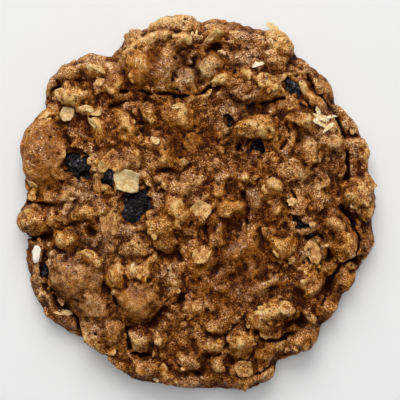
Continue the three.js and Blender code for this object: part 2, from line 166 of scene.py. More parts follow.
# cracks: the line each follows, half its width at the top, its depth
cracks = [
    [[(-18.5, 27.8), (-13, 27.4), (-8.3, 27.2), (-4.7, 26.2), (0.6, 27.2), (3.5, 29.2)], 1.0, 4.2],
    [[(-21.6, 24), (-17.6, 25.2), (-13, 25.4)], 0.8, 1.8],
    [[(-38.4, 25), (-35.4, 28.7), (-31.6, 30.4), (-27.6, 30.4)], 1.0, 3.4],
    [[(22.8, 33.8), (23.5, 30.5), (25.2, 26.6), (27.6, 24)], 1.0, 3.0],
    [[(27.4, 31.8), (29.2, 27.6), (32.4, 24.6), (35, 21), (36.4, 17)], 0.75, 2.6],
    [[(36.8, 13), (37.2, 6.4)], 1.2, 4.6],
    [[(35.4, -0.7), (38.6, -4.6), (40, -9.2), (38.7, -13.4), (35.2, -14.9), (33.6, -18.2),
      (32, -21.8), (29.8, -25.9), (29.2, -29.4)], 1.0, 3.6],
    [[(26.6, -8.4), (29.6, -7.4), (32, -9.8), (32.6, -13)], 1.0, 2.8],
    [[(23.6, -32.2), (20, -33.4), (16, -33.6)], 0.9, 2.4],
    [[(10.6, -27.8), (7.9, -31.5), (6.8, -34.6), (4.9, -37.2), (2.6, -38.2)], 0.8, 2.4],
    [[(8.7, -38.6), (9.6, -42.4), (14.6, -42.2), (18.6, -39.7)], 0.6, 2.2],
    [[(-5.8, -38.2), (-3.4, -41.4), (0.8, -42)], 0.6, 2.2],
    [[(-22.6, -19.7), (-20.6, -23.5), (-19.6, -28), (-17.9, -29.7), (-17.1, -33.7),
      (-16.9, -36.7), (-12.6, -37.9)], 0.8, 3.2],
    [[(-22.8, -28.8), (-19.6, -28.2)], 0.7, 2.0],
    [[(-43.9, -8), (-40, -8.6), (-36.6, -8)], 0.9, 3.2],
    [[(-38.3, -12.4), (-37.6, -17), (-36.2, -21.7)], 1.2, 3.6],
    [[(-36.2, -21.7), (-34, -25.5), (-30, -28.5), (-28.9, -33)], 0.7, 2.6],
    [[(-43.6, 3.6), (-41.4, 1.6)], 0.8, 2.6], [[(-43, 0.4), (-38, 0.2), (-34.6, 0)], 0.7, 1.8],
    [[(-11.6, -29), (-8.4, -25.6), (-4, -23.6)], 1.4, 1.7],
    [[(-11, -10.8), (-8, -12.4), (-4.6, -12.6)], 1.1, 1.6],
    [[(8.6, 25.6), (14, 24.8), (21, 25.8)], 0.9, 2.0],
    [[(-33, 17.5), (-31.4, 14.6)], 0.9, 2.0], [[(-14.6, 16.6), (-13.8, 20), (-14.4, 23)], 0.8, 1.8],
    [[(10, 13.4), (14, 12.8), (18.6, 13.6)], 0.9, 2.4],
    [[(11, 2.6), (12.6, -1.4), (12, -4.6)], 0.8, 2.0], [[(1.6, -5), (2.6, -8.6), (4, -11)], 0.8, 1.8],
    [[(23, 3.4), (24.6, 0.4), (22, -3.6)], 0.8, 2.2], [[(20.6, 13.6), (22.6, 16.2), (21.6, 20)], 0.8, 1.8],
]

# holes: x, y, radius, depth
holes = [
    [-3.5, 37.6, 0.9, 2], [-1.9, 34.9, 1.3, 3], [4.3, 38.6, 1.5, 2.6], [3.4, 28.9, 1.4, 2.4],
    [-26.4, -6.6, 0.9, 2], [-12.2, -8.6, 0.9, 2.2], [-7.8, 8.4, 1.2, 2.4], [12.2, 23.4, 1.1, 2],
    [24.6, -29.2, 1.6, 3], [-5.6, 35.4, 0.6, 1.4], [-27.6, 15.2, 0.8, 1.8], [21.9, -4.8, 0.8, 2],
]


def makeAxes():
    low, high = [Vector(corner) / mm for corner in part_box("cookie_dough")]
    beside, below, above = 2.2, 1.5, 4.0  # room left round the CAD dough
    step = dough["voxel"]
    axes = [np.arange(low[i] - beside, high[i] + beside, step, dtype=np.float32) for i in (0, 1)]
    axes.append(np.arange(-below, high[2] + above, step, dtype=np.float32))
    return axes


def lattice(counts, cell, seed):
    # smooth random values from -1 to 1, with bumps about one cell wide (in voxels)
    out = np.random.default_rng(seed).uniform(-1, 1, [int(n / cell) + 3 for n in counts])
    out = out.astype(np.float32)
    for axis, count in enumerate(counts):
        at = np.arange(count) / cell
        low = at.astype(int)
        share = (at - low).astype(np.float32)
        share = share * share * (3 - 2 * share)
        share = share.reshape([-1 if i == axis else 1 for i in range(len(counts))])
        out = np.take(out, low, axis) * (1 - share) + np.take(out, low + 1, axis) * share
    return out


def roughness(counts, size, seed):
    # two layers of the same noise, so that no grid shows
    cell = size / dough["voxel"]
    return 0.65 * lattice(counts, cell, seed) + 0.45 * lattice(counts, cell * 0.61, seed + 50)


def knobs(size, seed):
    # 1 at the middle of each rounded crumb, falling below 0 in the creases between them
    cell = size / dough["voxel"]
    counts = [int(n / cell) + 4 for n in shape]
    seeds = np.random.default_rng(seed).uniform(0.1, 0.9, [3] + counts).astype(np.float32)
    near = np.full(shape, 9.0, np.float32)
    wander = [w / size for w in (warpX, warpY, warpZ)]
    index = [(np.arange(n) / cell).astype(int) + 1 for n in shape]
    for step in np.ndindex(3, 3, 3):
        square = 0
        for axis in range(3):
            at = seeds[axis]
            for other in range(3):
                at = np.take(at, index[other] + step[other] - 1, other)
            flat = (index[axis] + step[axis] - 2).astype(np.float32)
            flat = flat.reshape([-1 if i == axis else 1 for i in range(3)])
            start = (axes[axis][0] - (shift[axis] if axis < 2 else 0)) / size
            square = square + np.square(wander[axis] - start - flat - at)
        near = np.minimum(near, square)
    return 1 - near / 0.36


def smoothBox(values, reach, passes=2):
    # running mean along each axis
    width = max(1, int(round(reach / dough["voxel"])))
    for _ in range(passes):
        for axis in range(values.ndim):
            pad = [(width, width) if i == axis else (0, 0) for i in range(values.ndim)]
            total = np.cumsum(np.pad(values, pad, mode="edge"), axis=axis, dtype=np.float64)
            count = values.shape[axis]
            high = np.take(total, np.arange(2 * width, 2 * width + count), axis)
            first = np.zeros_like(np.take(total, [0], axis))
            low = np.concatenate([first, np.take(total, np.arange(0, count - 1), axis)], axis)
            values = ((high - low) / (2 * width + 1)).astype(np.float32)
    return values


def rimRadii():
    # the outline as a smooth closed curve through its crests and nicks
    points = [(r * math.cos(math.radians(a)), r * math.sin(math.radians(a))) for a, r in dough["rim"]]
    count = len(points)
    line = []
    for i in range(count):
        before, here, after, beyond = [np.array(points[(i + k) % count]) for k in (-1, 0, 1, 2)]
        for t in np.arange(0, 1, 0.05):
            line.append(0.5 * (2 * here + (after - before) * t
                               + (2 * before - 5 * here + 4 * after - beyond) * t * t
                               + (3 * here - before - 3 * after + beyond) * t ** 3))
    line = np.array(line)
    middle = (line.max(axis=0) + line.min(axis=0)) / 2
    angles = np.arctan2(line[:, 1], line[:, 0]) % (2 * math.pi)
    order = np.argsort(angles)
    return angles[order], np.hypot(line[:, 0], line[:, 1])[order], middle


def ramp(t):
    t = np.clip(t, 0, 1)
    return t * t * (3 - 2 * t)


def softMax(a, b, soft):
    # the larger of the two, rounded over where they are within soft of each other
    h = np.clip(0.5 + 0.5 * (a - b) / soft, 0, 1)
    return b * (1 - h) + a * h + soft * h * (1 - h)


def randomSpot(rng, reach):
    angle = rng.uniform(0, 2 * math.pi)
    far = reach * math.sqrt(rng.uniform())
    return far * math.cos(angle), far * math.sin(angle)


axes = makeAxes()
shape = [len(a) for a in axes]
gridX, gridY = np.meshgrid(axes[0], axes[1], indexing="ij")

rimAngles, rimLengths, rimMiddle = rimRadii()
low, high = [Vector(corner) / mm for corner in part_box("cookie_dough")]
centre = ((low + high) / 2).xy  # of the CAD dough; the rim's own middle goes there
shift = np.array([centre.x, centre.y]) - rimMiddle

warpX = dough["warp"] * roughness(shape, 4.2, 1) + 0.5 * roughness(shape, 1.7, 2)
warpY = dough["warp"] * roughness(shape, 4.2, 3) + 0.5 * roughness(shape, 1.7, 4)
warpX += (axes[0] - shift[0])[:, None, None]
warpY += (axes[1] - shift[1])[None, :, None]
warpZ = 0.3 * roughness(shape, 2.4, 5) + axes[2][None, None, :]
print("grid", shape)


def slabHeights():
    x, y = gridX - shift[0], gridY - shift[1]
    angle = np.arctan2(y, x) % (2 * math.pi)
    rim = np.interp(angle, rimAngles, rimLengths, period=2 * math.pi)
    rough = 0.45 * roughness(shape[:2], 3.4, 11) + 0.3 * roughness(shape[:2], 1.3, 12)
    inward = rim - np.hypot(x, y) + rough
    height = dough["lip"] + (dough["shoulder"] - dough["lip"]) * ramp(inward / dough["lipWidth"])
    height += (dough["crown"] - dough["shoulder"]) * ramp(inward / dough["shoulderWidth"])
    for cx, cy, long, wide, turn, rise in swells:
        c, s = math.cos(math.radians(turn)), math.sin(math.radians(turn))
        u = (c * (x - cx) + s * (y - cy)) / long
        v = (c * (y - cy) - s * (x - cx)) / wide
        height += rise * ramp(1.25 - np.sqrt(u * u + v * v)) * ramp(inward / 5)
    height += 0.5 * roughness(shape[:2], 7.0, 13) * ramp(inward / 6)
    return inward, height


inward, height = slabHeights()


def makeSlab():
    z = axes[2][None, None, :]
    slope = np.sqrt(1 + sum(np.square(g / dough["voxel"]) for g in np.gradient(height)))
    top = (z - height[:, :, None]) / slope[:, :, None]
    up = np.clip((z - 1.5) / np.maximum(height[:, :, None] - 1.5, 1), 0, 1.2)
    down = np.clip((1.5 - z) / 1.5, 0, 1)
    inset = dough["lipRound"] * up ** 2.4 + dough["footInset"] * down ** 2
    side = inset - inward[:, :, None]
    return softMax(top, side, 1.2).astype(np.float32)


field = makeSlab()
tone = np.zeros(shape, np.float32)  # how pale and golden the dough is


def nearby(x, y, z, reach):
    # the part of the grid round a spot on the dough
    box = []
    for axis, at in zip(axes, (x + shift[0], y + shift[1], z)):
        box.append(slice(*np.searchsorted(axis, [at - reach, at + reach])))
    return tuple(box)


def turned(box, point, turn, tip, tilt, warp=1.0):
    # warped distances from a point, along its own three directions
    rows = Euler((math.radians(tip), math.radians(tilt), math.radians(turn))).to_matrix().transposed()
    plain = (axes[0][box[0]][:, None, None] - shift[0], axes[1][box[1]][None, :, None] - shift[1],
             axes[2][box[2]][None, None, :])
    moved = warpX[box], warpY[box], warpZ[box]
    delta = [p + warp * (m - p) - at for p, m, at in zip(plain, moved, point)]
    return [row[0] * delta[0] + row[1] * delta[1] + row[2] * delta[2] for row in rows]


def ovalDistance(box, point, half, turn, tip=0, tilt=0):
    u, v, w = turned(box, point, turn, tip, tilt)
    near = np.sqrt((u / half[0]) ** 2 + (v / half[1]) ** 2 + (w / half[2]) ** 2)
    steep = np.sqrt((u / half[0] ** 2) ** 2 + (v / half[1] ** 2) ** 2 + (w / half[2] ** 2) ** 2)
    return near * (near - 1) / np.maximum(steep, 1e-3)


def flakeDistance(box, point, half, turn, tip, tilt):
    # a pressed oat: an oval plate, cupped along its length, with a crease
    u, v, w = turned(box, point, turn, tip, tilt, 0.35)
    w = w - 0.1 * (v / half[1]) ** 2 + 0.16 * np.exp(-(v / 0.35) ** 2)
    flat = (np.sqrt((u / half[0]) ** 2 + (v / half[1]) ** 2) - 1) * half[1]
    thick = np.abs(w) - half[2]
    return np.maximum(flat, thick)


def join(box, distance, soft, newTone):
    old = field[box]
    h = np.clip(0.5 + 0.5 * (old - distance) / soft, 0, 1)
    field[box] = old * (1 - h) + distance * h - soft * h * (1 - h)
    tone[box] += (newTone - tone[box]) * h


def cut(box, distance, soft):
    field[box] = softMax(field[box], distance, soft)


def heightOf(table, x, y):
    i = int(np.clip(np.searchsorted(axes[0], x + shift[0]), 0, shape[0] - 1))
    j = int(np.clip(np.searchsorted(axes[1], y + shift[1]), 0, shape[1] - 1))
    return float(table[i, j])


def ovalMask(x, y, long, wide, turn, edge=0.35):
    # 1 inside an oval seen from above, fading at its edge
    c, s = math.cos(math.radians(turn)), math.sin(math.radians(turn))
    dx, dy = gridX - shift[0] - x, gridY - shift[1] - y
    near = np.hypot((c * dx + s * dy) / long, (c * dy - s * dx) / wide)
    return ramp((1 + edge - near) / (2 * edge))


# where the dough ran smooth: x, y, half length, half width, turn, how smooth
smoothParts = [
    [-30.4, -18, 6.4, 5, -15, 1], [-14.4, -23.5, 5.4, 4.6, -5, 1],
    [-25, -28, 4, 8, 35, 1], [-38.5, 12, 8.6, 5.2, 95, 1], [-10, 33, 10, 4, 0, 1],
    [7, -17, 13, 7, 28, 0.65], [-2, 17, 8, 6, 10, 0.55], [17, 24, 8, 4, -10, 0.5],
    [-20, -6, 6, 5, 0, 0.4], [10, -1, 7, 6, 0, 0.45], [28, 14, 7, 5, 0, 0.4],
]
smoothness = np.zeros(shape[:2], np.float32)
for *part, share in smoothParts:
    smoothness = np.maximum(smoothness, share * ovalMask(*part))


# greyer patches, partly flour dust and partly painted sheen: x, y, half length, half width, turn
dustAndSheenParts = [
    [-18, 10, 6, 4, 15], [-4.4, 3.2, 6, 4, 15], [-29.4, 0.8, 5, 5, 0], [-29.4, -11.8, 7, 5, 0],
    [-30, -18, 9, 8, 0], [-18, -10, 6, 5, 0], [-6.9, -18, 3, 3, 0], [10.6, 22, 6, 6, 0],
    [-3, 33, 5, 4, 0], [13, 34.5, 5, 4, 0], [29.4, 23, 6, 4, 0], [32, 14.5, 6, 4, 0],
    [17, 4.5, 6, 6, 0], [28, 7, 5, 4, 0], [40.6, 2, 5, 5, 0], [28, -10.5, 4, 5, 0],
    [18, -25.5, 6, 5, 0], [13, -33, 4, 5, 0], [-23, -29, 5, 5, 0], [-14, -23, 6, 6, 0],
]
# lighter and darker parts, partly the bake and partly painted light and shade (lighter on the far side where
# the light falls, darker on the near rim and on shaded sides): x, y, half length, half width, turn, change
bakeAndShadeParts = [
    [8, -16, 13, 8, 28, -0.06], [38, -12, 7, 20, -10, -0.12], [27, -28, 8, 6, 40, -0.1],
    [12, -43, 12, 5, 8, -0.12], [-18, -42, 6, 6, 0, -0.1], [-37, -20, 5, 14, 25, -0.12],
    [-1, 15.5, 7, 5, 0, -0.1], [11, 13, 6, 5, 0, -0.06], [10, -3, 9, 5, 0, -0.05],
    [-30, 17, 5, 4, 0, -0.07], [36, 8, 6, 5, 0, -0.08], [26, 27, 6, 5, -30, -0.06],
    [-2, 36.5, 5, 3, 0, -0.1], [-11, 41, 6, 4, 0, 0.12], [-2, 45.5, 11, 2.6, 0, 0.14],
    [20, 40.5, 6, 4, -35, 0.1], [0, -43, 14, 3, -4, -0.08], [30, -33, 5, 3, 40, -0.08],
    [-14, -42.5, 7, 2.4, -12, -0.12], [8, 22.5, 4, 3, 0, -0.1],
    [3.5, 31, 4, 2.6, 0, 0.13], [17, 31, 8, 3, -10, 0.08],
    [-19, 35, 5, 4, 0, 0.1], [-34, 25, 6, 4, 30, 0.1], [-24.5, 21, 5, 3, 0, 0.09],
    [33, 16, 8, 3.5, -20, 0.09], [-12, 11, 3.5, 3, 0, 0.11], [22.5, 6.5, 4, 3, 0, 0.1],
    [-31.5, 1, 4, 3, 0, 0.12], [-4.5, 1.5, 5, 3.5, 0, 0.11], [41, 1, 4, 4, 0, 0.1],
    [-26, -14, 4, 3, 0, 0.1], [-17.5, -14.5, 4, 3, 0, 0.05], [-2, -24.5, 4, 2.5, 0, 0.09],
    [8.5, -34, 4, 3, 0, 0.1], [-2, -43.5, 5, 2, 0, 0.1],
    [-12, -34, 4, 3, 0, -0.1], [-2, -39.5, 4, 2.5, 0, -0.1], [8, -29, 4, 3, 0, -0.1],
    [13, 26, 4, 2.5, 0, -0.1], [23, 36, 3, 3, 0, -0.1], [-2, 26.5, 4, 2, 0, -0.1],
    [-7, -24, 3, 4, 0, -0.1], [3, -9, 4, 3, 0, -0.1], [-42, -4, 3, 3, 0, -0.1],
    [-37, -29, 4, 4, 0, -0.08], [-2, 41, 5, 3, 0, 0.12], [18, 41, 4, 3, 0, 0.08],
    [-22, 36, 4, 3, 0, 0.1], [2, 31.5, 4, 3, 0, 0.06], [13, 31, 3, 3, 0, 0.06],
    [8, 27, 3, 3, 0, 0.08], [-2, 21, 3, 3, 0, 0.1], [-2, 1, 4, 3, 0, 0.06], [13, 1, 3, 3, 0, 0.08],
    [-17, -14, 4, 3, 0, 0.08], [18, -24, 4, 3, 0, 0.1], [-17, -34, 3, 3, 0, 0.1],
    [-7, 46, 4, 2, 0, 0.1], [-19.5, 11, 4, 3, 0, -0.06],
]


def crustTop():
    # height of the highest face in every column
    inside = field < 0
    index = shape[2] - 1 - np.argmax(inside[:, :, ::-1], axis=2)
    top = axes[2][index]
    top[~inside.any(axis=2)] = 0
    return top


def brokenOval(box, point, half, turns, facets, soft, rng):
    # an oval broken by flat faces, more upright than level
    distance = ovalDistance(box, point, half, *turns)
    u, v, w = turned(box, point, *turns)
    for _ in range(facets):
        way = rng.normal(0, 1, 3) * (1, 1, 0.8)
        way[2] = abs(way[2])
        way /= np.linalg.norm(way)
        reach = rng.uniform(0.72, 1.0) * math.sqrt(sum((h * n) ** 2 for h, n in zip(half, way)))
        distance = softMax(distance, way[0] * u + way[1] * v + way[2] * w - reach, soft)
    return distance


def addLump(x, y, long, wide, turn, rise, newTone):
    # where the dough ran smooth a lump stays round and blends in
    calm = heightOf(smoothness, x, y)
    rise *= dough["lumpRise"]
    deep = max((1.55 + 0.5 * calm) * rise, 0.75 * wide)
    z = heightOf(height, x, y) + rise - deep
    half = 1.2 * long, 1.2 * wide, 1.05 * deep
    box = nearby(x, y, z, long + 2.5)
    rng = np.random.default_rng(int(abs(x * 1009 + y * 9176)) + 5)
    turns = [turn, *rng.normal(0, 13, 2)]
    distance = brokenOval(box, (x, y, z), half, turns, int(dough["facets"] * (1 - calm)), 0.7, rng)
    join(box, distance, 1.2 + 0.8 * calm, newTone)


def scatterCrumbs():
    # small broken bits that stand in the face
    rng = np.random.default_rng(81)
    top = crustTop()
    made = 0
    for _ in range(dough["crumbs"]):
        x, y = randomSpot(rng, 46.5)
        if heightOf(inward, x, y) < 0.6 or heightOf(smoothness, x, y) > rng.uniform(0, 1):
            continue
        long = rng.uniform(0.7, 1.7)
        half = long, long * rng.uniform(0.4, 0.8), rng.uniform(0.35, 0.75)
        z = heightOf(top, x, y) + rng.uniform(-0.3, 0.1)
        box = nearby(x, y, z, long + 1)
        turns = [rng.uniform(0, 180), *rng.normal(0, 25, 2)]
        shade = sample(tone, np.array([[(v - a[0]) / dough["voxel"] for v, a in
                                        zip((x + shift[0], y + shift[1], z), axes)]]))[0]
        join(box, brokenOval(box, (x, y, z), half, turns, 5, 0.15, rng), 0.25,
             shade + rng.uniform(-0.3, 0.5))
        made += 1
    print("crumbs", made)


def addLumps():
    rng = np.random.default_rng(21)
    placed = [(l[0], l[1], l[3]) for l in lumps]
    made = 0
    for _ in range(9000):
        if made >= dough["randomLumps"]:
            break
        x, y = randomSpot(rng, 46.0)
        wide = rng.uniform(0.9, 2.1)
        if heightOf(inward, x, y) < 5:
            continue
        if any(math.hypot(x - px, y - py) < 0.85 * (wide + pw) for px, py, pw in placed):
            continue
        if heightOf(smoothness, x, y) > rng.uniform(0.1, 1.2):
            continue
        placed.append((x, y, wide))
        addLump(x, y, wide * rng.uniform(1.1, 1.8), wide, rng.uniform(0, 180),
                rng.uniform(0.25, 0.75), rng.uniform(-0.1, 0.5))
        made += 1
    for lump in lumps:
        addLump(*lump)
    print("lumps", made + len(lumps))


def buryOats():
    rng = np.random.default_rng(34)
    top = smoothBox(crustTop(), 0.8, 1)
    made = 0
    for _ in range(dough["buriedOats"]):
        x, y = randomSpot(rng, 46.5)
        half = rng.uniform(1.6, 3.1), rng.uniform(1.2, 2.3), rng.uniform(0.3, 0.55)
        if heightOf(inward, x, y) < half[1] or heightOf(smoothness, x, y) > rng.uniform(0.1, 1):
            continue
        z = heightOf(top, x, y) + rng.uniform(-0.6, 0.1)
        box = nearby(x, y, z, half[0] + 2)
        distance = flakeDistance(box, (x, y, z), half, rng.uniform(0, 180),
                                 rng.normal(0, 16), rng.normal(0, 16))
        join(box, distance, 0.55, rng.uniform(0.2, 0.85, 2)[0])  # the second draw is spare
        made += 1
    print("buried oats", made)


def carve(widen, deepen, soft):
    level = smoothBox(crustTop(), 1.6)
    vary = np.clip(0.8 + 1.1 * roughness(shape[:2], 3.6, 43), 0.0, 1.6)
    z = axes[2][None, None, :]
    wander = 0.45 * roughness(shape[:2], 2.4, 41), 0.45 * roughness(shape[:2], 2.4, 42)
    x, y = gridX - shift[0] + wander[0], gridY - shift[1] + wander[1]
    spots = [[[(hx, hy), (hx + 0.3, hy)], radius, deep] for hx, hy, radius, deep in holes]
    for line, wide, deep in cracks + spots:
        wide, deep = wide * widen, deep * deepen
        away = np.full(x.shape, 99.0, np.float32)
        for (ax, ay), (bx, by) in zip(line, line[1:]):
            span = (bx - ax) ** 2 + (by - ay) ** 2
            share = np.clip(((x - ax) * (bx - ax) + (y - ay) * (by - ay)) / span, 0, 1)
            away = np.minimum(away, np.hypot(x - ax - share * (bx - ax), y - ay - share * (by - ay)))
        rows = np.nonzero((away < wide + 2).any(axis=1))[0]
        columns = np.nonzero((away < wide + 2).any(axis=0))[0]
        box = (slice(rows[0], rows[-1] + 1), slice(columns[0], columns[-1] + 1), slice(None))
        up = (z - level[box[:2]][:, :, None] + deep) / deep
        gape = (wide * vary[box[:2]])[:, :, None] * np.clip(up, -0.6, 1.35)
        cut(box, gape - away[box[:2]][:, :, None], soft)
    print("cracks", len(cracks), "holes", len(holes))


def roughen():
    # an uneven face, but not under the foot
    z = axes[2][None, None, :]
    grow = np.clip(z / 1.6, 0, 1)
    lively = ((1 - 0.8 * smoothness) * (0.35 + 0.65 * ramp(inward / 3.5)))[:, :, None]
    bumps = 0
    for seed, (wide, tall) in enumerate(dough["bumps"].items(), 61):
        bumps = bumps + tall * roughness(shape, wide, seed)
    for seed, (wide, tall) in enumerate(dough["knobs"].items(), 64):
        bumps -= tall * lively * np.clip(knobs(wide, seed), -0.6, 1)
    field[...] += bumps * grow


def addPits():
    rng = np.random.default_rng(71)
    top = crustTop()
    for _ in range(dough["pits"]):
        x, y = randomSpot(rng, 46)
        radius = rng.uniform(0.25, 0.5)
        z = heightOf(top, x, y) + 0.1
        if z < 2:
            continue
        box = nearby(x, y, z, radius + 0.8)
        cut(box, -ovalDistance(box, (x, y, z), (radius, radius * 0.8, radius * 1.3), 0), 0.2)


def trim():
    # nothing past the rim's overhang or through the foot
    everywhere = (slice(None), slice(None), slice(None))
    cut(everywhere, np.broadcast_to(-inward[:, :, None] - dough["overhang"], shape), 0.9)
    cut(everywhere, np.broadcast_to(-axes[2][None, None, :], shape), 0.3)  # the flat foot


# raisins

raisins = {
    # half sizes, turn, how far the top stands over the dough, share of it left bare, bloom
    "raisin_1": [(5.4, 4.1, 3.2), 125, -0.6, 0.94, 0],
    "raisin_2": [(6.2, 4.3, 3.2), 58, -0.3, 0.96, 0.05],
    "raisin_3": [(3.2, 2.6, 2.4), 60, 0, 1, 0.2],
    "raisin_4": [(5.4, 3.2, 3.2), 108, -0.9, 0.7, 0.08],
    "raisin_5": [(4.8, 3, 2.9), 12, -1.3, 0.7, 0],
    "raisin_6": [(4.4, 3.6, 2.9), 70, -0.7, 0.4, 0.1],
    "raisin_7": [(4.6, 3.4, 3), -35, -0.8, 0.64, 0],
    "raisin_8": [(4.6, 2.6, 2.6), 94, -1.1, 0.86, 0],
}
raisinLook = {
    "folds": 0.2, "smallFolds": 0.1,  # depth as a share of the size
    "foldSize": 1.9, "lowest": 0.5,   # lowest: never through the foot
    "crumbs": 18,                     # dough crumbs on the edge of each
    "grain": 0.8, "bump": 1.0, "glazeBump": 0.6,
}


def raisinPlace(name):
    # over the CAD raisin, sunk in the crust as modelled here
    low, high = [Vector(corner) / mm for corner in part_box(name)]
    x, y = ((low + high) / 2).xy
    half, _, rise, _, _ = raisins[name]
    return Vector((x, y, heightOf(height, x - shift[0], y - shift[1]) + rise - half[2]))


def seatRaisins():
    rng = np.random.default_rng(51)
    for name, (half, turn, _, bare, _) in raisins.items():
        place = raisinPlace(name)
        at = (place.x - shift[0], place.y - shift[1], place.z + half[2] + 0.6)
        box = nearby(*at, half[0] + 3)
        cut(box, -ovalDistance(box, at, (half[0] * bare, half[1] * bare, 2.6), turn), 0.5)
        for _ in range(raisinLook["crumbs"]):
            angle = rng.uniform(0, 2 * math.pi)
            far = bare * rng.uniform(0.85, 1.2)
            u, v = half[0] * far * math.cos(angle), half[1] * far * math.sin(angle)
            c, s = math.cos(math.radians(turn)), math.sin(math.radians(turn))
            wide = rng.uniform(0.4, 1.0)
            spot = (at[0] + c * u - s * v, at[1] + s * u + c * v, place.z + half[2] * rng.uniform(0.7, 1.05))
            box = nearby(*spot, wide + 2)
            size = (wide * rng.uniform(1, 1.8), wide, wide * 0.7)
            join(box, ovalDistance(box, spot, size, rng.uniform(0, 180)), 0.5, rng.uniform(0.1, 0.6))


def sample(values, points):
    # trilinear lookup of a volume at mesh points given in voxels
    low = np.clip(points.astype(int), 0, np.array(values.shape) - 2)
    share = points - low
    out = 0
    for corner in range(8):
        step = np.array([corner >> 2 & 1, corner >> 1 & 1, corner & 1])
        weight = np.prod(np.where(step, share, 1 - share), axis=1)
        at = (low + step).T
        out = out + weight * values[at[0], at[1], at[2]]
    return out


def setFloat(mesh, name, values):
    layer = mesh.attributes.new(name, "FLOAT", "POINT")
    layer.data.foreach_set("value", np.ascontiguousarray(values, np.float32))


def newObject(name, verts, faces):
    mesh = bpy.data.meshes.new(name)
    mesh.from_pydata(verts, [], faces)
    mesh.update()
    piece = bpy.data.objects.new(name, mesh)
    bpy.context.collection.objects.link(piece)
    return piece


def thinOut(piece, share):
    # fewer triangles where the face is plain; returns the points left
    if share < 1:
        piece.modifiers.new("fewer", "DECIMATE").ratio = share
        view = bpy.context.evaluated_depsgraph_get()
        mesh = bpy.data.meshes.new_from_object(piece.evaluated_get(view))
        piece.modifiers.clear()
        piece.data = mesh
    points = np.empty(3 * len(piece.data.vertices), np.float32)
    piece.data.vertices.foreach_get("co", points)
    return points.reshape(-1, 3)


def buildDough():
    carve(1.25, 1.0, 0.8)
    addLumps()
    buryOats()
    carve(0.5, 0.8, 0.5)
    scatterCrumbs()
    seatRaisins()
    roughen()
    addPits()
    trim()
    volume = openvdb.FloatGrid()
    volume.copyFromArray(np.clip(field, -1.5, 1.5))
    points, triangles, quads = volume.convertToPolygons(0.0, 0.01)
    start = np.array([a[0] for a in axes])
    faces = [list(f[::-1]) for f in triangles] + [list(f[::-1]) for f in quads]
    piece = newObject("baked_dough", (points * dough["voxel"] + start) * mm, faces)
    points = thinOut(piece, dough["triangles"] / (len(triangles) + 2 * len(quads)))
    points = (points / mm - start) / dough["voxel"]
    solid = np.clip(0.5 - field / dough["voxel"], 0, 1).astype(np.float32)
    fineHollow = smoothBox(solid, 0.7)
    middleHollow = smoothBox(solid, 1.4)
    wideHollow = smoothBox(solid, 2.8)
    top = smoothBox(crustTop(), 2.6)
    sunk = sample(np.broadcast_to(top[:, :, None], shape), points)
    sunk = sunk - (points[:, 2] * dough["voxel"] + start[2])
    mesh = piece.data
    # curvature at three widths and depth under the smoothed top; the material paints shade in hollows and
    # highlight on crests from these
    setFloat(mesh, "crest", (0.5 - sample(fineHollow, points)) * 2)
    setFloat(mesh, "swell", (0.5 - sample(middleHollow, points)) * 2)
    setFloat(mesh, "rise", (0.5 - sample(wideHollow, points)) * 2)
    setFloat(mesh, "sunk", np.clip(sunk, -2, 2.4))
    setFloat(mesh, "tone", sample(tone, points))
    # greyer patches, partly flour dust and partly painted sheen
    dustAndSheen = sum(ovalMask(*part, edge=0.6) for part in dustAndSheenParts)
    # darker near the rim where the edge browned, plus the listed parts, some of them painted light and shade
    bakeAndShade = -0.1 * (1 - ramp(inward / 4)) + sum(row[5] * ovalMask(*row[:5], edge=0.5) for row in bakeAndShadeParts)
    for name, table in (("dustAndSheen", np.minimum(dustAndSheen, 1)), ("bakeAndShade", bakeAndShade), ("calm", smoothness)):
        setFloat(mesh, name, sample(np.broadcast_to(table[:, :, None], shape), points))
    mesh.shade_smooth()
    print("dough faces", len(mesh.polygons))
    return piece


# materials

def newTree(name, inputs, outputs):
    group = bpy.data.node_groups.new(name, "ShaderNodeTree")
    for label, kind, default in inputs:
        socket = group.interface.new_socket(label, in_out="INPUT", socket_type=kind)
        socket.default_value = default
    for label, kind in outputs:
        group.interface.new_socket(label, in_out="OUTPUT", socket_type=kind)
    return group, group.nodes.new("NodeGroupInput"), group.nodes.new("NodeGroupOutput")


def addNode(tree, kind, **settings):
    node = tree.nodes.new(kind)
    for key, value in settings.items():
        setattr(node, key, value)
    return node


def setValues(node, values):
    for label, value in values.items():
        node.inputs[label].default_value = value


def mathNode(tree, operation, a, b=None, c=None):
    node = addNode(tree, "ShaderNodeMath", operation=operation)
    for socket, value in zip(node.inputs, (a, b, c)):
        if value is None:
            continue
        if isinstance(value, bpy.types.NodeSocket):
            tree.links.new(value, socket)
        else:
            socket.default_value = value
    return node.outputs[0]


def plusShare(tree, value, share, total):
    return mathNode(tree, "MULTIPLY_ADD", value, share, total)


def centred(tree, value):
    return mathNode(tree, "SUBTRACT", value, 0.5)


def mapRange(tree, value, low, high, outLow=0.0, outHigh=1.0):
    node = addNode(tree, "ShaderNodeMapRange", interpolation_type="SMOOTHSTEP")
    tree.links.new(value, node.inputs["Value"])
    setValues(node, {"From Min": low, "From Max": high, "To Min": outLow, "To Max": outHigh})
    return node.outputs["Result"]


def mixColor(tree, factor, a, b):
    node = addNode(tree, "ShaderNodeMix", data_type="RGBA")
    for socket, value in zip((node.inputs[0], node.inputs[6], node.inputs[7]), (factor, a, b)):
        if isinstance(value, bpy.types.NodeSocket):
            tree.links.new(value, socket)
        else:
            socket.default_value = value
    return node.outputs[2]


def linear(r, g, b):
    def one(v):
        v /= 255
        return v / 12.92 if v <= 0.04045 else ((v + 0.055) / 1.055) ** 2.4
    return (one(r), one(g), one(b), 1.0)


def noiseNode(tree, vector, scale, detail=3.0, rough=0.55):
    node = addNode(tree, "ShaderNodeTexNoise")
    tree.links.new(vector, node.inputs["Vector"])
    setValues(node, {"Scale": scale, "Detail": detail, "Roughness": rough})
    return node.outputs["Fac"]


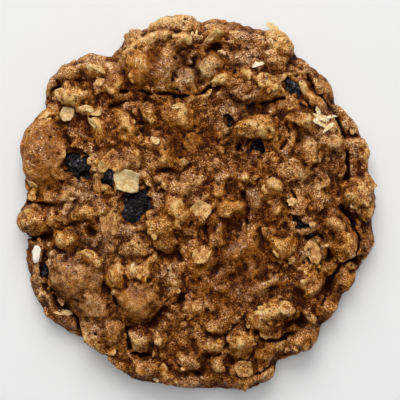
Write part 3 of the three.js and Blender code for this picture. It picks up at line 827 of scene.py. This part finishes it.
def crumbGroup():
    # sugary grain, open pores and fine pale specks, partly sugar and partly painted glints, as a height and
    # three masks
    group, source, result = newTree(
        "Crumb grain",
        [("Vector", "NodeSocketVector", (0, 0, 0)), ("Grain Size", "NodeSocketFloat", 1.0),
         ("Pore Amount", "NodeSocketFloat", 0.5)],
        [("Height", "NodeSocketFloat"), ("Grain", "NodeSocketFloat"), ("Pores", "NodeSocketFloat"),
         ("Sugar And Glint", "NodeSocketFloat")])
    scaled = addNode(group, "ShaderNodeVectorMath", operation="SCALE")
    group.links.new(source.outputs["Vector"], scaled.inputs[0])
    inverse = mathNode(group, "DIVIDE", 1000.0, source.outputs["Grain Size"])
    group.links.new(inverse, scaled.inputs["Scale"])
    place = scaled.outputs[0]
    fine = noiseNode(group, place, 2.6, 3.0, 0.65)
    middle = noiseNode(group, place, 0.9, 2.0, 0.6)
    cells = addNode(group, "ShaderNodeTexVoronoi", feature="F1")
    group.links.new(place, cells.inputs["Vector"])
    cells.inputs["Scale"].default_value = 0.85
    spread = noiseNode(group, place, 0.35, 1.0)
    size = mathNode(group, "MULTIPLY", source.outputs["Pore Amount"], mapRange(group, spread, 0.35, 0.7))
    pores = mathNode(group, "SUBTRACT", size, cells.outputs["Distance"])
    pores = mapRange(group, pores, 0.0, 0.1)
    height = mathNode(group, "MULTIPLY", fine, 0.6)
    height = plusShare(group, middle, 0.9, height)
    height = plusShare(group, pores, -0.9, height)
    group.links.new(height, result.inputs["Height"])
    group.links.new(fine, result.inputs["Grain"])
    group.links.new(pores, result.inputs["Pores"])
    moved = addNode(group, "ShaderNodeVectorMath", operation="ADD")
    group.links.new(place, moved.inputs[0])
    moved.inputs[1].default_value = (37.0, 11.0, 5.0)
    # pale specks: partly sugar crystals, partly painted glints
    sugarAndGlint = mapRange(group, noiseNode(group, moved.outputs[0], 3.0, 1.0, 0.5), 0.58, 0.72)
    group.links.new(sugarAndGlint, result.inputs["Sugar And Glint"])
    return group


crumb = crumbGroup()


def placeCrumb(tree, size, pores):
    node = addNode(tree, "ShaderNodeGroup", node_tree=crumb)
    coords = addNode(tree, "ShaderNodeTexCoord")
    tree.links.new(coords.outputs["Object"], node.inputs["Vector"])
    node.inputs["Grain Size"].default_value = size
    node.inputs["Pore Amount"].default_value = pores
    return node, coords.outputs["Object"]


def bumpNormal(tree, height, strength, distance=0.001):
    bump = addNode(tree, "ShaderNodeBump")
    setValues(bump, {"Strength": strength, "Distance": distance})
    tree.links.new(height, bump.inputs["Height"])
    return bump.outputs["Normal"]


def glazeNormal(tree, place, size, strength):
    # the same grain under a shiny skin
    fine = mathNode(tree, "MULTIPLY", noiseNode(tree, place, 2600.0 / size, 3.0, 0.65), 0.6)
    height = plusShare(tree, noiseNode(tree, place, 900.0 / size, 2.0, 0.6), 0.9, fine)
    return bumpNormal(tree, height, strength)


def newMaterial(name):
    material = bpy.data.materials.new(name)
    material.use_nodes = True
    tree = material.node_tree
    shader = tree.nodes["Principled BSDF"]
    return material, tree, shader


def attribute(tree, name):
    return addNode(tree, "ShaderNodeAttribute", attribute_name=name).outputs["Fac"]


def ramped(tree, value, stops):
    node = addNode(tree, "ShaderNodeValToRGB")
    tree.links.new(value, node.inputs["Fac"])
    marks = node.color_ramp.elements
    while len(marks) < len(stops):
        marks.new(0.5)
    for mark, (at, colour) in zip(marks, stops):
        mark.position = at
        mark.color = colour
    return node.outputs["Color"]


doughLook = {
    "levels": (0.0, 0.26, 0.5, 0.73, 0.93),  # where each colour of the three palettes below lies: plain bake, flour dust with painted sheen, ruddy bake
    "plain": [(50, 14, 0), (96, 42, 2), (156, 87, 18), (204, 129, 40), (250, 204, 130)],
    "dustAndSheen": [(42, 17, 2), (92, 53, 15), (142, 100, 52), (192, 148, 98), (238, 206, 166)],
    "ruddy": [(52, 16, 0), (102, 48, 0), (162, 92, 8), (212, 135, 30), (252, 198, 112)],
    # the pore colour is painted shade in the pits; the sugar colour is partly sugar and partly painted
    # glints
    "poreShade": (74, 32, 6), "sugarAndGlint": (255, 240, 216),
    "flat": 0.435,                       # level of a flat face
    "creaseShade": 1.05, "crests": 0.34,     # painted shade in the creases, stronger than the painted highlight on the crests
    # swell, rise and sunk paint shade in hollows and highlight on lump tops; tone is the lumps' own gold;
    # the last is partly the bake and partly painted light and shade
    "shape": {"swell": 0.2, "rise": 0.09, "tone": 0.04, "sunk": -0.08, "bakeAndShade": 1.0},
    "grain": 0.85, "pores": 0.4, "bump": 1.0, "glaze": 1.0, "glazeBump": 0.5,
    "soft": 0.2,                         # share of light that spreads under the face
}


def shadeAndBakeLevel(tree):
    # how far each spot is from dark crease (0) to pale crest (1), without the grain: painted shade in
    # creases and hollows, painted highlight on crests and lump tops, with the lumps' own tone and the bake
    look = doughLook
    crest = attribute(tree, "crest")
    level = plusShare(tree, mathNode(tree, "MINIMUM", crest, 0.0), look["creaseShade"], look["flat"])
    level = plusShare(tree, mathNode(tree, "MAXIMUM", crest, 0.0), look["crests"], level)
    for name, share in look["shape"].items():
        level = plusShare(tree, attribute(tree, name), share, level)
    return level


def crustColour(tree, place, level, blotch, plain):
    # plain crust, with ruddy patches and greyer ones that are partly flour dust and partly painted sheen
    look = doughLook
    plainBake, dustAndSheenBake, ruddyBake = [
        ramped(tree, level, [(at, linear(*c)) for at, c in zip(look["levels"], look[name])])
        for name in ("plain", "dustAndSheen", "ruddy")]
    patches = mapRange(tree, noiseNode(tree, place, 210.0, 2.0, 0.5), 0.42, 0.58, 0.0, 0.8)
    colour = mixColor(tree, patches, plainBake, ruddyBake)
    share = plusShare(tree, blotch, 0.9, attribute(tree, "dustAndSheen"))
    share = mathNode(tree, "MULTIPLY", mapRange(tree, share, 0.0, 1.2, 0.12, 0.55),
                     plusShare(tree, plain, 0.85, 0.15))
    return mixColor(tree, share, colour, dustAndSheenBake)


def doughMaterial():
    material, tree, shader = newMaterial("Baked dough")
    look = doughLook
    node, place = placeCrumb(tree, look["grain"], look["pores"])
    plain = mapRange(tree, attribute(tree, "tone"), 0.1, 0.6, 1.0, 0.0)  # 0 on the golden lumps
    blotch = centred(tree, noiseNode(tree, place, 130.0, 3.0, 0.6))
    fleck = centred(tree, noiseNode(tree, place, 700.0, 3.0, 0.6))
    broad = shadeAndBakeLevel(tree)
    grain = plusShare(tree, centred(tree, node.outputs["Grain"]), plusShare(tree, plain, 0.5, 1.9), fleck)
    level = plusShare(tree, grain, plusShare(tree, attribute(tree, "calm"), -0.4, 1.0), broad)
    level = plusShare(tree, blotch, 0.5, level)
    colour = crustColour(tree, place, level, blotch, plain)
    # dark colour in the pits: painted shade
    pores = mathNode(tree, "MULTIPLY", node.outputs["Pores"], 0.7)
    colour = mixColor(tree, pores, colour, linear(*look["poreShade"]))
    # pale specks on the crests and raised parts: partly sugar, partly painted glints
    sugarAndGlint = mathNode(tree, "MULTIPLY", node.outputs["Sugar And Glint"], mapRange(tree, broad, 0.42, 0.68, 0.0, 0.9))
    sugarAndGlint = mathNode(tree, "MULTIPLY", sugarAndGlint, plusShare(tree, plain, 0.6, 0.25))
    colour = mixColor(tree, sugarAndGlint, colour, linear(*look["sugarAndGlint"]))
    tree.links.new(colour, shader.inputs["Base Color"])
    tree.links.new(mapRange(tree, node.outputs["Grain"], 0.3, 0.75, 0.7, 0.4), shader.inputs["Roughness"])
    # the glaze lies on the raised grains only
    glaze = mathNode(tree, "MULTIPLY", mapRange(tree, node.outputs["Grain"], 0.5, 0.6),
                     mapRange(tree, broad, 0.25, 0.5, 0.0, look["glaze"]))
    glaze = mathNode(tree, "MULTIPLY", glaze, plusShare(tree, plain, 0.3, 0.6))
    tree.links.new(glaze, shader.inputs["Coat Weight"])
    tree.links.new(glazeNormal(tree, place, look["grain"], look["glazeBump"]), shader.inputs["Coat Normal"])
    tree.links.new(bumpNormal(tree, node.outputs["Height"], look["bump"]), shader.inputs["Normal"])
    setValues(shader, {"Subsurface Weight": look["soft"], "Subsurface Radius": (1.0, 0.5, 0.2),
                       "Subsurface Scale": 0.0012, "Specular IOR Level": 0.06,
                       "Coat Roughness": 0.15, "Coat IOR": 1.8})
    return material


def finishPiece(piece, node, material):
    piece.data.materials.append(material)
    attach(piece, "root")
    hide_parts(node)


doughPiece = buildDough()
finishPiece(doughPiece, "cookie_dough", doughMaterial())
print("dough done")


# raisin meshes

def raisinMaterial():
    material, tree, shader = newMaterial("Raisin skin")
    node, place = placeCrumb(tree, raisinLook["grain"], 0.0)
    # grey bloom on the skin; its palest specks are partly painted sparkle
    bloomAndSparkle = noiseNode(tree, place, 900.0, 3.0, 0.75)
    patch = noiseNode(tree, place, 160.0, 2.0, 0.5)
    bloomAndSparkle = plusShare(tree, centred(tree, patch), 0.9, bloomAndSparkle)
    bloomAndSparkle = mathNode(tree, "ADD", bloomAndSparkle, attribute(tree, "bloom"))
    colour = ramped(tree, bloomAndSparkle, [(0.3, linear(2, 1, 1)), (0.56, linear(6, 4, 5)),
                                 (0.68, linear(56, 52, 64)), (0.82, linear(156, 144, 156))])
    tree.links.new(colour, shader.inputs["Base Color"])
    shader.inputs["Roughness"].default_value = 0.6
    tree.links.new(mapRange(tree, node.outputs["Grain"], 0.54, 0.62), shader.inputs["Coat Weight"])
    look = raisinLook
    tree.links.new(bumpNormal(tree, node.outputs["Height"], look["bump"]), shader.inputs["Normal"])
    tree.links.new(glazeNormal(tree, place, look["grain"], look["glazeBump"]), shader.inputs["Coat Normal"])
    setValues(shader, {"Specular IOR Level": 0.12, "Coat Roughness": 0.16, "Coat IOR": 1.7})
    return material


def buildRaisin(name, seed):
    half, turn, _, _, bloom = raisins[name]
    form = bmesh.new()
    bmesh.ops.create_icosphere(form, subdivisions=6, radius=1.0)
    spin = Euler((0, 0, math.radians(turn))).to_matrix()
    place = raisinPlace(name)
    offset = Vector((seed * 7.3, seed * 3.1, seed * 1.7))
    for vert in form.verts:
        p = vert.co.copy()
        at = Vector((p.x * half[0] / half[2], p.y * half[1] / half[2], p.z)) * raisinLook["foldSize"]
        folds = 1 - 2 * abs(noise.noise(at + offset))
        small = 1 - 2 * abs(noise.noise(at * 2.4 + offset))
        size = 1 + raisinLook["folds"] * (folds - 0.6) + raisinLook["smallFolds"] * (small - 0.6)
        p = Vector((p.x * half[0], p.y * half[1], p.z * half[2])) * size
        p = spin @ p + place
        p.z = max(p.z, raisinLook["lowest"])
        vert.co = p * mm
    mesh = bpy.data.meshes.new("wrinkled_" + name)
    form.to_mesh(mesh)
    form.free()
    mesh.shade_smooth()
    setFloat(mesh, "bloom", [bloom] * len(mesh.vertices))
    piece = bpy.data.objects.new("wrinkled_" + name, mesh)
    bpy.context.collection.objects.link(piece)
    return piece


raisinSkin = raisinMaterial()
for index, name in enumerate(raisins):
    finishPiece(buildRaisin(name, index + 1), name, raisinSkin)
print("raisins done")


# bare oat flakes

oatLook = {
    "thickness": 0.3,
    "breaks": 6, "ragged": (0.16, 0.12),  # straight breaks of the edge, and how uneven it is
    "fibres": 0.14, "crease": 0.1, "bump": 0.7,
}
oats = {
    # half length, half width, turn, tip, tilt, lift, paleness; each stands for one CAD flake
    "oat_flake_1": [2.9, 2.5, 40, 8, -6, 0.35, 0.58], "oat_flake_2": [2.9, 2.2, 58, -6, 8, 0.3, 0.45],
    "oat_flake_3": [3.3, 2.2, 112, 8, 4, 0.2, 0.4], "oat_flake_4": [3.2, 2.2, -40, -10, 6, 0.5, 0.95],
    "oat_flake_5": [3.8, 2.9, -30, -14, 4, 0.6, 1], "oat_flake_6": [3.9, 2.2, 96, 6, -6, 0.3, 0.3],
    "oat_flake_7": [2.7, 2.1, -12, 6, 0, 0.2, 0.3], "oat_flake_8": [2.1, 1.7, 60, 10, 8, 0.3, 0.95],
    "oat_flake_9": [3.4, 1.5, -24, -10, 8, 0.3, 1.2],
}

# smaller flakes and slivers: x, y, half length, half width, turn, tip, tilt, lift, paleness
slivers = [
    [0.4, 6, 2.4, 1.3, 40, 6, 0, 0.1, 0.5], [23, 0.4, 1.5, 1.1, 20, 0, 8, 0.2, 0.7],
    [33.4, 21.8, 2.3, 0.6, 20, -12, 0, 0.4, 1.2], [32.4, 19.2, 2.2, 0.8, 40, -12, 6, 0.4, 1.1],
    [29.6, 22.8, 1.8, 0.5, 115, 0, 10, 0.4, 1.15], [31, 21, 2.3, 0.8, -28, -10, 6, 0.5, 1.15],
    [-39.9, -12.5, 2.8, 1.3, 78, 12, 6, 0.9, 1.8], [-33.7, -27, 2.9, 1, -12, 0, 0, 0.4, 0.9],
    [-16.2, -15.2, 1.3, 0.45, 70, 0, 10, 0.3, 1.1], [-10.4, -43.7, 1.2, 0.7, -15, 10, 0, 0.1, 0.9],
    [-25.6, 33.6, 2.8, 0.4, -28, 20, 0, 0.3, 0.9], [14.7, 34.4, 1.9, 0.65, 24, -12, 0, 0.4, 1.35],
    [-15, 34.6, 1.7, 0.26, 80, 0, 0, 0.15, 0.8], [-13.9, 34.8, 1.8, 0.26, 88, 0, 0, 0.15, 0.8],
    [-13, 34.4, 1.7, 0.26, 96, 0, 0, 0.15, 0.8], [-1.6, 41.8, 1.7, 0.4, 66, 20, 0, 0.3, 1],
    [-0.4, 42.3, 1.5, 0.35, 80, -10, 0, 0.3, 1], [0.6, 41.2, 1.4, 0.4, 52, 10, 10, 0.4, 0.8],
    [23, -14.1, 1.2, 0.9, 80, 0, 0, 0.2, 0.5], [5.7, 37.4, 1.3, 0.8, -20, 10, 0, 0.2, 0.9],
    [-10.6, 15.8, 1.6, 1.1, -15, 10, 0, 0.5, 0.8], [-27.4, 23.6, 2, 0.8, -12, 20, 0, 0.4, 0.8],
    [-25, 22.4, 1.8, 0.7, 12, -10, 0, 0.4, 0.7], [-25.9, 19.8, 2.2, 0.8, -45, 20, 0, 0.4, 0.8],
    [-5, 24, 1.6, 0.8, 0, 10, 0, 0.3, 0.7], [20.8, -26, 1.8, 0.8, -30, 15, 0, 0.3, 0.8],
    [15.2, -25.2, 1, 0.6, 10, 0, 0, 0.3, 0.7], [-41, 5, 2.2, 1.1, -15, 10, 0, 0.1, 0.6],
    [-37.8, 22, 2.2, 0.9, 45, 10, 0, 0.2, 0.8], [4.9, 31, 2.2, 0.7, 32, 20, 0, 0.3, 0.7],
    [3.4, 41, 3.4, 0.9, 42, 25, 0, 0.5, 0.6], [40, 4.6, 1.4, 0.8, 60, 0, 0, 0.2, 0.6],
    [-24.1, 30, 1.4, 1.1, 10, 0, 10, 0.3, 0.6], [13.9, 6.4, 0.7, 0.5, 0, 0, 0, 0.3, 0.6],
]


def flakeShape(half, seed, verts, faces, marks, spin, place, paleness):
    # a pressed groat: ragged outline, creased, cupped and fibrous
    rings, sides = 8, 40
    coarse, fine = oatLook["ragged"]
    first = len(verts)
    rng = np.random.default_rng(int(seed * 100))
    breaks = [(rng.uniform(0, 2 * math.pi), rng.uniform(0.6, 0.95)) for _ in range(oatLook["breaks"])]
    for face in (1, -1):
        for ring in range(rings + 1):
            for side in range(sides):
                angle = 2 * math.pi * side / sides
                edge = Vector((math.cos(angle), math.sin(angle), seed * 1.37))
                reach = min([1.1] + [h / max(math.cos(angle - a), 0.01) for a, h in breaks])
                reach += coarse * noise.noise(edge * 1.6) + fine * noise.noise(edge * 5)
                out = ring / rings
                u, v = out * reach * math.cos(angle), out * reach * math.sin(angle)
                spot = Vector((u, v * half[1] / half[0], seed * 0.7))
                z = 0.25 * half[1] * v * v - 0.1 * half[0] * u * u
                z += 0.35 * noise.noise(spot * 1.3) + 0.12 * noise.noise(spot * 3.1)
                body = oatLook["thickness"] * (1 - out ** 4) + 0.05
                fibre = oatLook["fibres"] * noise.noise(Vector((u * 1.6, v * half[1] * 3.2, seed)))
                aside = v * half[1] - 0.2 * noise.noise(spot * 2)
                crease = oatLook["crease"] * math.exp(-(aside / 0.2) ** 2)
                z += face * (body / 2 + fibre * (1 - out ** 3)) - (crease * (1 - out) if face > 0 else 0)
                verts.append((spin @ Vector((u * half[0], v * half[1], z)) + place) * mm)
                marks.append((paleness, out, u, v * half[1] / 2, seed))
    for face in (0, 1):
        base = first + face * (rings + 1) * sides
        for ring in range(rings):
            for side in range(sides):
                a, b = base + ring * sides + side, base + ring * sides + (side + 1) % sides
                c, d = b + sides, a + sides
                quad = (a, b, c, d) if ring else (base, c, d)
                faces.append(quad[::-1] if face == 0 else quad)
    top, bottom = first + rings * sides, first + (2 * rings + 1) * sides
    for side in range(sides):
        after = (side + 1) % sides
        faces.append((top + side, bottom + side, bottom + after, top + after))


def restOn(top, x, y, reach):
    # the plane that fits the crust under a flake: its height and its normal
    i, j = [int(np.searchsorted(axes[k], (x, y)[k] + shift[k])) for k in (0, 1)]
    n = max(2, int(reach / dough["voxel"]))
    dx, dy = np.meshgrid(np.arange(-n, n + 1), np.arange(-n, n + 1), indexing="ij")
    near = np.hypot(dx, dy) <= n
    dx, dy = dx[near], dy[near]
    z = top[np.clip(i + dx, 0, shape[0] - 1), np.clip(j + dy, 0, shape[1] - 1)]
    good = z > 0.5 * z.max()
    table = np.stack([np.ones(good.sum()), dx[good] * dough["voxel"], dy[good] * dough["voxel"]], axis=1)
    flat = np.linalg.lstsq(table, z[good], rcond=None)[0]
    normal = Vector((-float(np.clip(flat[1], -0.7, 0.7)), -float(np.clip(flat[2], -0.7, 0.7)), 1))
    return float(flat[0] + 0.6 * np.std(z[good] - table @ flat)), normal.normalized()


def oatPiece(name, rows, top):
    # rows: x, y, half length, half width, turn, tip, tilt, lift, paleness
    verts, faces, marks = [], [], []
    for index, (x, y, long, wide, turn, tip, tilt, lift, paleness) in enumerate(rows):
        z, normal = restOn(top, x, y, wide)
        spin = Euler((math.radians(tip), math.radians(tilt), math.radians(turn))).to_matrix()
        spin = Vector((0, 0, 1)).rotation_difference(normal).to_matrix() @ spin
        place = Vector((x + shift[0], y + shift[1], z + lift))
        flakeShape((long, wide), 3.1 * index + len(name), verts, faces, marks, spin, place, paleness)
    used = sorted({i for f in faces for i in f})  # the rings' doubled middles are dropped
    where = {old: new for new, old in enumerate(used)}
    piece = newObject(name, [verts[i] for i in used], [[where[i] for i in f] for f in faces])
    for column, label in enumerate(("pale", "edge", "alongFlake", "acrossFlake", "seed")):
        setFloat(piece.data, label, [marks[i][column] for i in used])
    piece.data.shade_smooth()
    return piece


def oatMaterial():
    material, tree, shader = newMaterial("Toasted oat")
    node, _ = placeCrumb(tree, 0.9, 0.2)
    along = addNode(tree, "ShaderNodeCombineXYZ")
    for socket, label in zip(along.inputs, ("alongFlake", "acrossFlake", "seed")):
        tree.links.new(attribute(tree, label), socket)
    stretch = addNode(tree, "ShaderNodeVectorMath", operation="MULTIPLY")
    tree.links.new(along.outputs[0], stretch.inputs[0])
    stretch.inputs[1].default_value = (1.8, 9.0, 1.0)
    fibres = centred(tree, noiseNode(tree, stretch.outputs[0], 1.0, 3.0, 0.6))
    patch = noiseNode(tree, along.outputs[0], 2.2, 3.0, 0.6)
    grain = centred(tree, node.outputs["Grain"])
    level = plusShare(tree, attribute(tree, "pale"), 0.6, 0.1)
    level = plusShare(tree, fibres, 0.8, level)
    level = plusShare(tree, grain, 0.9, level)
    level = mathNode(tree, "ADD", level, mapRange(tree, patch, 0.42, 0.62, 0.1, -0.1))
    level = mathNode(tree, "ADD", level, mapRange(tree, attribute(tree, "edge"), 0.6, 1.0, 0.0, 0.04))
    colour = ramped(tree, level, [(0.0, linear(118, 64, 20)), (0.3, linear(186, 122, 54)),
                                  (0.55, linear(234, 186, 114)), (0.85, linear(255, 226, 166)),
                                  (1.0, linear(252, 242, 224))])
    tree.links.new(colour, shader.inputs["Base Color"])
    setValues(shader, {"Roughness": 0.5, "Specular IOR Level": 0.3})
    height = mathNode(tree, "ADD", fibres, node.outputs["Height"])
    tree.links.new(bumpNormal(tree, height, oatLook["bump"], 0.0006), shader.inputs["Normal"])
    return material


def buildOats():
    top = smoothBox(crustTop(), 0.5, 1)
    toasted = oatMaterial()
    for name, row in oats.items():
        low, high = [Vector(corner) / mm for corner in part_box(name)]
        x, y = ((low + high) / 2).xy - Vector(shift)
        piece = oatPiece("bare_" + name, [[x, y] + row], top)
        finishPiece(piece, name, toasted)
    piece = oatPiece("oat_slivers", slivers, top)
    finishPiece(piece, "cookie_dough", toasted)


buildOats()
print("oats done")


# floor, lights and camera

stage = {
    "floor": 2.4, "key": 1.0, "soft": 1.0, "glint": 2.4, "world": 0.22,
    "lens": 100.0, "frameWidth": 100.0,  # frameWidth: how many mm the camera spans
    "aim": (0.000625, 0.00075, 0.0045),  # what the camera looks straight down on
}


def buildStage():
    side = stage["floor"]
    floor = newObject("floor", [(-side, -side, 0), (side, -side, 0), (side, side, 0), (-side, side, 0)],
                      [(0, 1, 2, 3)])
    material, _, shader = newMaterial("Pale floor")
    setValues(shader, {"Base Color": (0.84, 0.84, 0.84, 1), "Roughness": 0.9, "Specular IOR Level": 0.1})
    floor.data.materials.append(material)


def addLight(name, place, size, power, colour, shines=1):
    # shines: 0 lights without a glint, 1 does both, 2 only glints
    data = bpy.data.lights.new(name, "AREA")
    data.shape = "RECTANGLE"
    data.size, data.size_y = size
    data.energy = power
    data.color = colour
    lamp = bpy.data.objects.new(name, data)
    lamp.location = place
    lamp.visible_glossy = shines > 0
    lamp.visible_diffuse = shines < 2
    lamp.rotation_euler = (Vector((0, 0, 0.005)) - Vector(place)).to_track_quat("-Z", "Y").to_euler()
    bpy.context.collection.objects.link(lamp)


def buildLights():
    addLight("key", (-0.1, 1.3, 1.1), (1.4, 1.0), 24.5 * stage["key"], (1.0, 0.995, 0.985))
    addLight("soft box", (0.0, 0.3, 1.8), (1.6, 1.4), 13.0 * stage["soft"], (1.0, 0.995, 0.985), 0)
    addLight("glint", (-0.15, 1.1, 1.3), (0.45, 0.35), 24.0 * stage["glint"], (1.0, 0.95, 0.88), 2)
    world = bpy.data.worlds.new("Studio")
    world.use_nodes = True
    world.node_tree.nodes["Background"].inputs["Color"].default_value = (0.95, 0.97, 1.0, 1)
    tree = world.node_tree
    seen = addNode(tree, "ShaderNodeLightPath").outputs["Is Camera Ray"]  # pale beyond the floor
    strength = plusShare(tree, seen, 0.6, stage["world"])
    tree.links.new(strength, tree.nodes["Background"].inputs["Strength"])
    world.cycles_visibility.glossy = False  # the glaze shines only under the key
    bpy.context.scene.world = world


def buildCamera():
    data = bpy.data.cameras.new("camera")
    data.sensor_width = 36.0
    data.lens = stage["lens"]
    data.clip_start = 0.01
    camera = bpy.data.objects.new("camera", data)
    away = stage["frameWidth"] * mm * stage["lens"] / data.sensor_width
    x, y, z = stage["aim"]
    camera.location = (x, y, z + away)
    bpy.context.collection.objects.link(camera)
    bpy.context.scene.camera = camera


buildStage()
buildLights()
buildCamera()
bpy.context.scene.view_settings.view_transform = "Standard"
